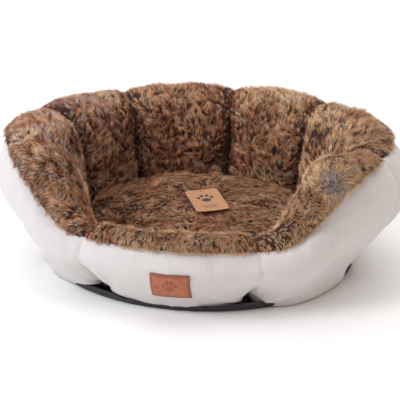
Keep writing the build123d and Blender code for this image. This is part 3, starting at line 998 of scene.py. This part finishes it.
# Polyester thread: round, slightly glossy, one lens-shaped bump for each stitch.
def makeStitches():
    p = patchLook
    material, tree, shader = newMaterial("tanPolyesterThread")
    twist = addNode(tree, "TexNoise", values={"Scale": 1500.0})
    tint = addNode(tree, "ValToRGB", links={"Fac": twist.outputs["Fac"]},
                   stops=[(0.3, "#7d4a31"), (0.7, "#96603f")])
    setFinish(tree, shader, tint.outputs["Color"], 0.5)
    halfX, halfZ = p["width"] / 2 - p["stitchInset"], p["height"] / 2 - p["stitchInset"]
    places = []
    for side in (-1, 1):
        along, up = [np.arange(1.6 * mm - half, half - mm, p["stitchPitch"]) for half in (halfX, halfZ)]
        places += [(k, side * halfZ, 1, 0) for k in along]
        places += [(side * halfX, k, 0, 1) for k in up]
    points, faces = [], []
    for x, z, alongX, alongZ in places:
        i = int(np.clip(np.searchsorted(patchX, x), 0, len(patchX) - 1))
        j = int(np.clip(np.searchsorted(patchZ, z), 0, len(patchZ) - 1))
        y = patchSurface[i, j, 1]
        first = len(points)
        for s in (-1, -0.6, 0, 0.6, 1):
            thick = 0.38 * mm * math.sqrt(max(0.05, 1 - s * s * 0.95))
            for k in range(6):
                b = 2 * math.pi * k / 6
                across, out = thick * math.cos(b), thick * math.sin(b)
                points.append((x + alongX * s * 1.15 * mm + alongZ * across,
                               y + 0.1 * mm - out - 0.12 * mm * (1 - s * s),
                               p["middle"] + z + alongZ * s * 1.15 * mm + alongX * across))
        for r in range(4):
            for k in range(6):
                m = (k + 1) % 6
                low = first + r * 6
                faces.append((low + k, low + m, low + 6 + m, low + 6 + k))
        faces.append(tuple(first + k for k in range(6)))
        faces.append(tuple(first + 24 + k for k in reversed(range(6))))
    stitches = addMesh("patch_stitches", points, faces, material)
    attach(stitches, "bed")


makeStitches()
print("patch made")

# Swing tag.
tagLook = {"width": 50 * mm, "length": 72 * mm, "thickness": 0.8 * mm, "corner": 5 * mm,
           "turn": 26, "tilt": 4, "hole": 1.6 * mm, "holeInset": 5 * mm, "curl": 1.2 * mm, "motif": 13 * mm}


# Kraft card: unbleached pulp, visible dark and light fibres, uncoated, with dark brown ink.
def makeKraftMaterial():
    material, tree, shader = newMaterial("uncoatedKraftCard")
    plan = addNode(tree, "UVMap", {"uv_map": "cardPlan"})
    pulp = addNode(tree, "TexNoise", values={"Scale": 700.0, "Detail": 4.0},
                   links={"Vector": plan.outputs["UV"]})
    tint = addNode(tree, "ValToRGB", links={"Fac": pulp.outputs["Fac"]},
                   stops=[(0.3, "#9f7049"), (0.5, "#b17f57"), (0.75, "#bf9169")])
    ink = addNode(tree, "Attribute", {"attribute_name": "ink"})
    printed = addNode(tree, "Mix", {"data_type": "RGBA"},
                      links={"Factor": ink.outputs["Fac"], "A": tint.outputs["Color"]})
    printed.inputs["B"].default_value = linear("#33302f")
    setFinish(tree, shader, printed.outputs["Result"], 0.75, pulp.outputs["Fac"], 0.2, 0.2 * mm)
    return material


def makeTag():
    t = tagLook
    columns, rows = 101, 145
    gridX, gridY = np.meshgrid(np.linspace(-0.5, 0.5, columns) * t["width"],
                               np.linspace(-0.5, 0.5, rows) * t["length"], indexing="ij")
    over = gridY - (t["length"] / 2 - t["corner"])
    limit = t["width"] / 2 - np.maximum(over, 0)
    flatX = np.clip(gridX, -limit, limit)
    bend = t["curl"] * (flatX / (t["width"] / 2)) ** 2
    turn, tilt = math.radians(t["turn"]), math.radians(t["tilt"])
    ahead = gridY * math.cos(tilt)
    height = gridY * math.sin(tilt) + bend
    x = tagMiddle.x + flatX * math.cos(turn) - ahead * math.sin(turn)
    y = tagMiddle.y + flatX * math.sin(turn) + ahead * math.cos(turn)
    top = np.stack([x, y, tagMiddle.z + height + t["thickness"] / 2], -1)
    holeY = t["length"] / 2 - t["holeInset"]
    points, faces = sheetBetween(top, top - [0, 0, t["thickness"]])
    flat = np.stack([flatX, gridY], -1).reshape(-1, 2)
    both = np.tile(flat, (2, 1))
    centre = np.array([both[list(f)].mean(0) for f in faces])
    keepFace = np.hypot(centre[:, 0], centre[:, 1] - holeY) > t["hole"]
    faces = [f for f, good in zip(faces, keepFace) if good]
    tag = addMesh("swing_tag_card", points, faces, makeKraftMaterial(), both, "cardPlan")
    ink = pawDepth(flatX, gridY - 5 * mm, t["motif"])
    for y0, half in ((-17.5 * mm, 14 * mm), (-21 * mm, 9 * mm), (-24.5 * mm, 12 * mm)):
        ink = np.maximum(ink, ((np.abs(gridY - y0) < 0.6 * mm) & (np.abs(flatX) < half)) * 0.7)
    layer = tag.data.attributes.new("ink", "FLOAT", "POINT")
    layer.data.foreach_set("value", np.concatenate([ink.ravel(), np.zeros(ink.size)]).astype(np.float32))
    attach(tag, "tag")
    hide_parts("swing_tag")


makeTag()
print("tag made")


# The cushion's filling and the bed's floor keep their plain shapes and get their own finishes.
liningCloth = makeFillMaterial("darkFloorLining", "#1c1a19", "#2d2a28", 3 * mm)
hidden = {"cushion_filling": fibreFill, "floor_pad": fibreFill, "floor_lining": liningCloth}
for node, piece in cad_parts.items():
    for start, material in hidden.items():
        if node.startswith(start):
            piece.data.materials.clear()
            piece.data.materials.append(material)

# Floor, lights, camera.
studio = {"target": 86 * mm, "azimuth": 10.1, "elevation": 22.0, "distance": 1.69, "lens": 101.4}


def makeFloor():
    material, tree, shader = newMaterial("whitePaperSweep")
    grain = addNode(tree, "TexNoise", values={"Scale": 60.0})
    tint = addNode(tree, "ValToRGB", links={"Fac": grain.outputs["Fac"]},
                   stops=[(0.0, "#f6f6f5"), (1.0, "#fafaf9")])
    setFinish(tree, shader, tint.outputs["Color"], 0.9)
    size = 6.0
    corners = [(-size, -size, 0), (size, -size, 0), (size, size, 0), (-size, size, 0)]
    floor = addMesh("floor", corners, [(0, 1, 2, 3)], material)


def addLight(name, place, size, power, colour):
    lamp = bpy.data.lights.new(name, "AREA")
    lamp.size, lamp.energy, lamp.color = size, power, linear(colour)[:3]
    holder = bpy.data.objects.new(name, lamp)
    holder.location = place
    holder.rotation_euler = (Vector((0, 0, 0.1)) - Vector(place)).to_track_quat("-Z", "Y").to_euler()
    bpy.context.scene.collection.objects.link(holder)


makeFloor()
addLight("keySoftbox", (-1.7, -1.2, 1.5), 1.0, 35, "#f4f6ff")
addLight("fillSoftbox", (1.7, -0.9, 0.9), 1.4, 3, "#ffbd90")
addLight("topSoftbox", (0.0, 1.2, 3.0), 4.5, 95, "#ffffff")
world = bpy.data.worlds.new("studioWhite")
world.use_nodes = True
world.node_tree.nodes["Background"].inputs["Color"].default_value = linear("#fffcfa")
world.node_tree.nodes["Background"].inputs["Strength"].default_value = 0.45
bpy.context.scene.world = world
bpy.context.scene.view_settings.view_transform = "Standard"

camera = bpy.data.objects.new("camera", bpy.data.cameras.new("camera"))
bpy.context.scene.collection.objects.link(camera)
azimuth, elevation = math.radians(studio["azimuth"]), math.radians(studio["elevation"])
level = math.cos(elevation)
away = Vector((math.sin(azimuth) * level, -math.cos(azimuth) * level, math.sin(elevation)))
camera.location = Vector((nestMiddle.x, nestMiddle.y, studio["target"])) + away * studio["distance"]
camera.rotation_euler = (-away).to_track_quat("-Z", "Y").to_euler()
camera.data.lens = studio["lens"]
camera.data.sensor_width = 36
bpy.context.scene.camera = camera

print("scene ready")
